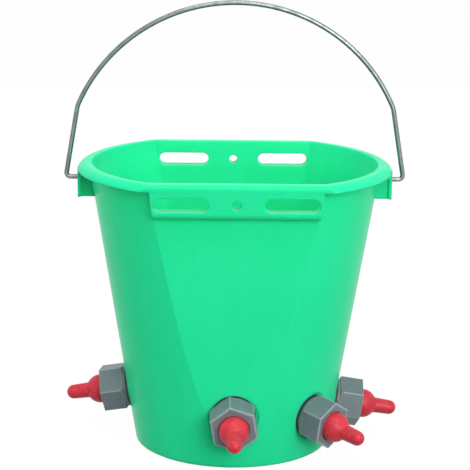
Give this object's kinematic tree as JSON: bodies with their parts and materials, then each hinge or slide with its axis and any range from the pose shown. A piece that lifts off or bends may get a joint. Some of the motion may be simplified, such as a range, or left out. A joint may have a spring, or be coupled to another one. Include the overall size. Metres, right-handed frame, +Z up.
{
  "type": "multi teat lamb feeder",
  "caption": "Green milk bucket with flat front and back panels, hanging slots, a wire bail and screwed valve nuts that hold red rubber teats round its foot, for feeding lambs.",
  "frame": {"origin": "middle of the foot ring, on the plane the bucket stands on", "axes": "+Z up, -Y towards the front panel, +X and -X through the bail's two pivots"},
  "size_m": [0.326, 0.3224, 0.4276],
  "materials": {
    "green_plastic": "smooth injection-moulded polypropylene, glossy",
    "steel_wire": "bright galvanised wire",
    "grey_plastic": "satin moulded plastic",
    "black_rubber": "matt sealing rubber",
    "red_rubber": "soft satin rubber",
    "white_plastic": "smooth moulded plastic"
  },
  "bodies": {
    "bucket_body": {"bucket": "green_plastic", "valve_body_1": "grey_plastic", "inner_gasket_1": "black_rubber", "outer_washer_1": "black_rubber", "ball_cage_1": "white_plastic", "valve_body_2": "grey_plastic", "inner_gasket_2": "black_rubber", "outer_washer_2": "black_rubber", "ball_cage_2": "white_plastic", "valve_body_3": "grey_plastic", "inner_gasket_3": "black_rubber", "outer_washer_3": "black_rubber", "ball_cage_3": "white_plastic", "valve_body_4": "grey_plastic", "inner_gasket_4": "black_rubber", "outer_washer_4": "black_rubber", "ball_cage_4": "white_plastic", "valve_body_5": "grey_plastic", "inner_gasket_5": "black_rubber", "outer_washer_5": "black_rubber", "ball_cage_5": "white_plastic", "valve_body_6": "grey_plastic", "inner_gasket_6": "black_rubber", "outer_washer_6": "black_rubber", "ball_cage_6": "white_plastic"},
    "bail": {"bail": "steel_wire"},
    "teat_1": {"teat_1": "red_rubber"},
    "nut_1": {"teat_nut_1": "grey_plastic"},
    "ball_1": {"valve_ball_1": "white_plastic"},
    "teat_2": {"teat_2": "red_rubber"},
    "nut_2": {"teat_nut_2": "grey_plastic"},
    "ball_2": {"valve_ball_2": "white_plastic"},
    "teat_3": {"teat_3": "red_rubber"},
    "nut_3": {"teat_nut_3": "grey_plastic"},
    "ball_3": {"valve_ball_3": "white_plastic"},
    "teat_4": {"teat_4": "red_rubber"},
    "nut_4": {"teat_nut_4": "grey_plastic"},
    "ball_4": {"valve_ball_4": "white_plastic"},
    "teat_5": {"teat_5": "red_rubber"},
    "nut_5": {"teat_nut_5": "grey_plastic"},
    "ball_5": {"valve_ball_5": "white_plastic"},
    "teat_6": {"teat_6": "red_rubber"},
    "nut_6": {"teat_nut_6": "grey_plastic"},
    "ball_6": {"valve_ball_6": "white_plastic"}
  },
  "joints": [
    {"name": "bail_swing", "type": "hinge", "parent": "bucket_body", "child": "bail", "pos_m": [0, 0, 0.2586], "axis": [1, 0, 0], "range_deg": [-136.5, 136.5]},
    {"name": "teat_1_draw", "type": "slide", "parent": "bucket_body", "child": "teat_1", "axis": [0, -0.9869, -0.1615], "range_m": [0, 0.0241]},
    {"name": "nut_1_turn", "type": "hinge", "parent": "teat_1", "child": "nut_1", "pos_m": [0, -0.09767, 0.05279], "axis": [0, -0.9869, -0.1615], "range_deg": [0, 2880]},
    {"name": "ball_1_lift", "type": "slide", "parent": "bucket_body", "child": "ball_1", "axis": [0, -0.9869, -0.1615], "range_m": [-0.004, 0]},
    {"name": "teat_2_draw", "type": "slide", "parent": "bucket_body", "child": "teat_2", "axis": [0.7218, -0.673, -0.1615], "range_m": [0, 0.0241]},
    {"name": "nut_2_turn", "type": "hinge", "parent": "teat_2", "child": "nut_2", "pos_m": [0.07286, -0.06794, 0.04426], "axis": [0.7218, -0.673, -0.1615], "range_deg": [0, 2880]},
    {"name": "ball_2_lift", "type": "slide", "parent": "bucket_body", "child": "ball_2", "axis": [0.7218, -0.673, -0.1615], "range_m": [-0.004, 0]},
    {"name": "teat_3_draw", "type": "slide", "parent": "bucket_body", "child": "teat_3", "axis": [0.9863, 0.0344, -0.1615], "range_m": [0, 0.0241]},
    {"name": "nut_3_turn", "type": "hinge", "parent": "teat_3", "child": "nut_3", "pos_m": [0.09842, 0.00344, 0.03726], "axis": [0.9863, 0.0344, -0.1615], "range_deg": [0, 2880]},
    {"name": "ball_3_lift", "type": "slide", "parent": "bucket_body", "child": "ball_3", "axis": [0.9863, 0.0344, -0.1615], "range_m": [-0.004, 0]},
    {"name": "teat_4_draw", "type": "slide", "parent": "bucket_body", "child": "teat_4", "axis": [0, 0.9869, -0.1615], "range_m": [0, 0.0241]},
    {"name": "nut_4_turn", "type": "hinge", "parent": "teat_4", "child": "nut_4", "pos_m": [0, 0.09767, 0.05279], "axis": [0, 0.9869, -0.1615], "range_deg": [0, 2880]},
    {"name": "ball_4_lift", "type": "slide", "parent": "bucket_body", "child": "ball_4", "axis": [0, 0.9869, -0.1615], "range_m": [-0.004, 0]},
    {"name": "teat_5_draw", "type": "slide", "parent": "bucket_body", "child": "teat_5", "axis": [-0.6603, 0.7334, -0.1615], "range_m": [0, 0.0241]},
    {"name": "nut_5_turn", "type": "hinge", "parent": "teat_5", "child": "nut_5", "pos_m": [-0.06622, 0.07355, 0.04026], "axis": [-0.6603, 0.7334, -0.1615], "range_deg": [0, 2880]},
    {"name": "ball_5_lift", "type": "slide", "parent": "bucket_body", "child": "ball_5", "axis": [-0.6603, 0.7334, -0.1615], "range_m": [-0.004, 0]},
    {"name": "teat_6_draw", "type": "slide", "parent": "bucket_body", "child": "teat_6", "axis": [-0.9831, 0.086, -0.1615], "range_m": [0, 0.0241]},
    {"name": "nut_6_turn", "type": "hinge", "parent": "teat_6", "child": "nut_6", "pos_m": [-0.09989, 0.00874, 0.04826], "axis": [-0.9831, 0.086, -0.1615], "range_deg": [0, 2880]},
    {"name": "ball_6_lift", "type": "slide", "parent": "bucket_body", "child": "ball_6", "axis": [-0.9831, 0.086, -0.1615], "range_m": [-0.004, 0]}
  ],
  "couplings": [
    {"joint": "teat_1_draw", "follows": "nut_1_turn", "m_per_rad": 0.00047746},
    {"joint": "teat_2_draw", "follows": "nut_2_turn", "m_per_rad": 0.00047746},
    {"joint": "teat_3_draw", "follows": "nut_3_turn", "m_per_rad": 0.00047746},
    {"joint": "teat_4_draw", "follows": "nut_4_turn", "m_per_rad": 0.00047746},
    {"joint": "teat_5_draw", "follows": "nut_5_turn", "m_per_rad": 0.00047746},
    {"joint": "teat_6_draw", "follows": "nut_6_turn", "m_per_rad": 0.00047746}
  ]
}
